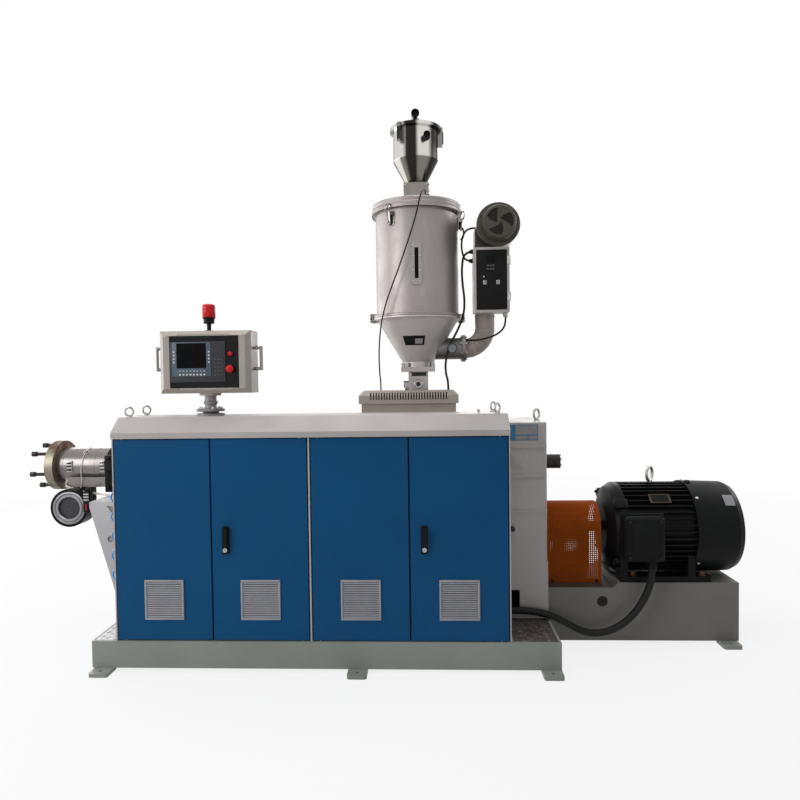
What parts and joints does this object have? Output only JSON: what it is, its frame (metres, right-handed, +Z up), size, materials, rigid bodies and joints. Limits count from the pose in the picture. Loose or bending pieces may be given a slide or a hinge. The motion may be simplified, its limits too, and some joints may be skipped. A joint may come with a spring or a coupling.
{
  "type": "plastic extruder",
  "caption": "Single-screw plastic extruder: base with cabinet and hinged doors, heated barrel, gearbox, motor, hopper dryer with vacuum loader, and swivelling control panel.",
  "frame": {"origin": "on the floor, at the middle of the machine's length and depth", "axes": "+X along the machine from the die end to the motor, -Y towards the side with the doors, +Z up"},
  "size_m": [4.143, 1.152, 3.078],
  "materials": {
    "blue_paint": "satin powder coat",
    "light_paint": "satin paint",
    "base_paint": "hammered machine paint",
    "warm_paint": "satin paint, warm grey",
    "taupe_paint": "satin machine enamel, grey-brown",
    "black_paint": "satin machine enamel",
    "orange_paint": "satin paint on perforated sheet",
    "hopper_steel": "satin sheet",
    "bright_steel": "polished",
    "bare_steel": "machined",
    "black_steel": "blackened",
    "black_plastic": "matt",
    "black_gloss": "gloss",
    "red_plastic": "gloss",
    "lagging": "wrapped cloth",
    "grille_plastic": "matt",
    "cable_rubber": "matt",
    "blue_hose": "gloss"
  },
  "bodies": {
    "machine": {"air_duct": "lagging", "air_hose": "blue_hose", "air_inlet": "hopper_steel", "barrel": "bare_steel", "barrel_bracket": "base_paint", "barrel_cover": "light_paint", "barrel_fan": "black_paint", "base_frame": "base_paint", "blower_lead": "cable_rubber", "cabinet_frame": "base_paint", "cabinet_walls": "light_paint", "coupling": "black_steel", "coupling_guard": "orange_paint", "deck": "base_paint", "door_pivots": "bare_steel", "dryer_blower": "taupe_paint", "dryer_box": "light_paint", "dryer_cable": "cable_rubber", "feed_cover": "warm_paint", "feed_valve": "bright_steel", "feet": "base_paint", "flange_screws": "black_steel", "gearbox_case": "light_paint", "gearbox_pedestal": "light_paint", "gearbox_tail": "black_steel", "heater_jacket": "bright_steel", "hood": "light_paint", "hopper_clamps": "bright_steel", "hopper_cone": "hopper_steel", "hopper_cylinder": "hopper_steel", "hopper_lid": "hopper_steel", "hopper_window": "bright_steel", "lifting_eyes": "bare_steel", "loader_body": "bright_steel", "loader_cable": "cable_rubber", "loader_fittings": "bright_steel", "loader_lid": "bright_steel", "motor_body": "black_paint", "motor_cable": "cable_rubber", "motor_cowl": "black_paint", "motor_stand": "base_paint", "panel_post": "light_paint", "rear_panels": "blue_paint", "sensor_lead": "cable_rubber", "terminal_box": "black_paint"},
    "door_1": {"door_1": "blue_paint", "grille_1": "grille_plastic"},
    "door_2": {"door_2": "blue_paint", "grille_2": "grille_plastic", "handle_2": "black_plastic"},
    "door_3": {"door_3": "blue_paint", "grille_3": "grille_plastic"},
    "door_4": {"door_4": "blue_paint", "grille_4": "grille_plastic", "handle_4": "black_plastic"},
    "control_panel": {"panel_box": "warm_paint", "panel_face": "black_gloss", "panel_controls": "black_plastic", "panel_grips": "bright_steel", "beacon": "red_plastic"}
  },
  "joints": [
    {"name": "door_1_hinge", "type": "hinge", "parent": "machine", "child": "door_1", "pos_m": [-1.2795, -0.487, 0.6865], "axis": [0, 0, -1], "range_deg": [0, 90]},
    {"name": "door_2_hinge", "type": "hinge", "parent": "machine", "child": "door_2", "pos_m": [-0.3515, -0.487, 0.6865], "axis": [0, 0, 1], "range_deg": [0, 90]},
    {"name": "door_3_hinge", "type": "hinge", "parent": "machine", "child": "door_3", "pos_m": [-0.2575, -0.487, 0.6865], "axis": [0, 0, -1], "range_deg": [0, 90]},
    {"name": "door_4_hinge", "type": "hinge", "parent": "machine", "child": "door_4", "pos_m": [0.6705, -0.487, 0.6865], "axis": [0, 0, 1], "range_deg": [0, 90]},
    {"name": "panel_swivel", "type": "hinge", "parent": "machine", "child": "control_panel", "pos_m": [-0.8695, -0.306, 1.445], "axis": [0, 0, 1], "range_deg": [-120, 120]}
  ]
}
